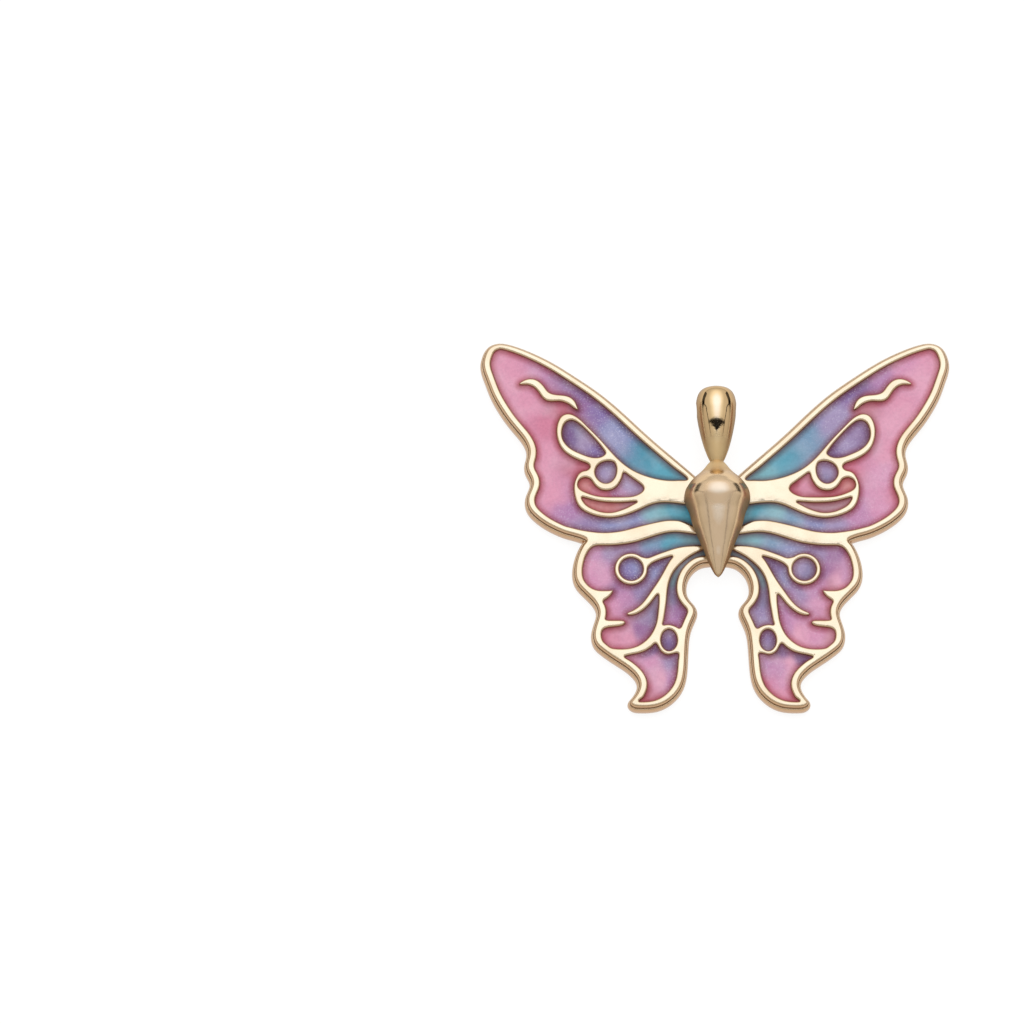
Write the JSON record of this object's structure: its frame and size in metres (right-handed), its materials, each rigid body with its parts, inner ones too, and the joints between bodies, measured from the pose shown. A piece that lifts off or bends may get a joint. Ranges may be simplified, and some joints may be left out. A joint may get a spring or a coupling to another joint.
{
  "type": "butterfly pendant",
  "caption": "Flat gilt butterfly pendant with recessed translucent enamel cells in its wings, a turned body and a drop-shaped bail bored crosswise for a chain.",
  "frame": {"origin": "on the flat back, under the body's axis, at the middle of the wings' height", "axes": "+X along the wing on the viewer's right, +Y towards the bail, +Z out of the enamelled face"},
  "size_m": [0.0308, 0.025, 0.0042],
  "materials": {
    "gold": "polished pale gold plate",
    "forewing_enamel": "translucent pearly enamel, teal to violet to pink",
    "hindwing_enamel": "translucent pearly enamel, teal to violet to pink",
    "accent_enamel": "translucent violet enamel with fine glitter",
    "band_enamel": "translucent enamel, dark teal to violet",
    "tail_enamel": "translucent pearly enamel, violet to pink"
  },
  "bodies": {
    "root": {"wing_plate": "gold", "body": "gold", "bail": "gold", "left_forewing_field_enamel": "forewing_enamel", "left_forewing_teardrop_enamel": "accent_enamel", "left_forewing_drop_enamel": "accent_enamel", "left_forewing_crescent_enamel": "accent_enamel", "left_forewing_lens_enamel": "accent_enamel", "left_hindwing_field_enamel": "hindwing_enamel", "left_hindwing_ring_enamel": "accent_enamel", "left_hindwing_inner_band_enamel": "band_enamel", "left_hindwing_oval_enamel": "accent_enamel", "left_hindwing_tail_enamel": "tail_enamel", "right_forewing_field_enamel": "forewing_enamel", "right_forewing_teardrop_enamel": "accent_enamel", "right_forewing_drop_enamel": "accent_enamel", "right_forewing_crescent_enamel": "accent_enamel", "right_forewing_lens_enamel": "accent_enamel", "right_hindwing_field_enamel": "hindwing_enamel", "right_hindwing_ring_enamel": "accent_enamel", "right_hindwing_inner_band_enamel": "band_enamel", "right_hindwing_oval_enamel": "accent_enamel", "right_hindwing_tail_enamel": "tail_enamel"}
  },
  "joints": []
}
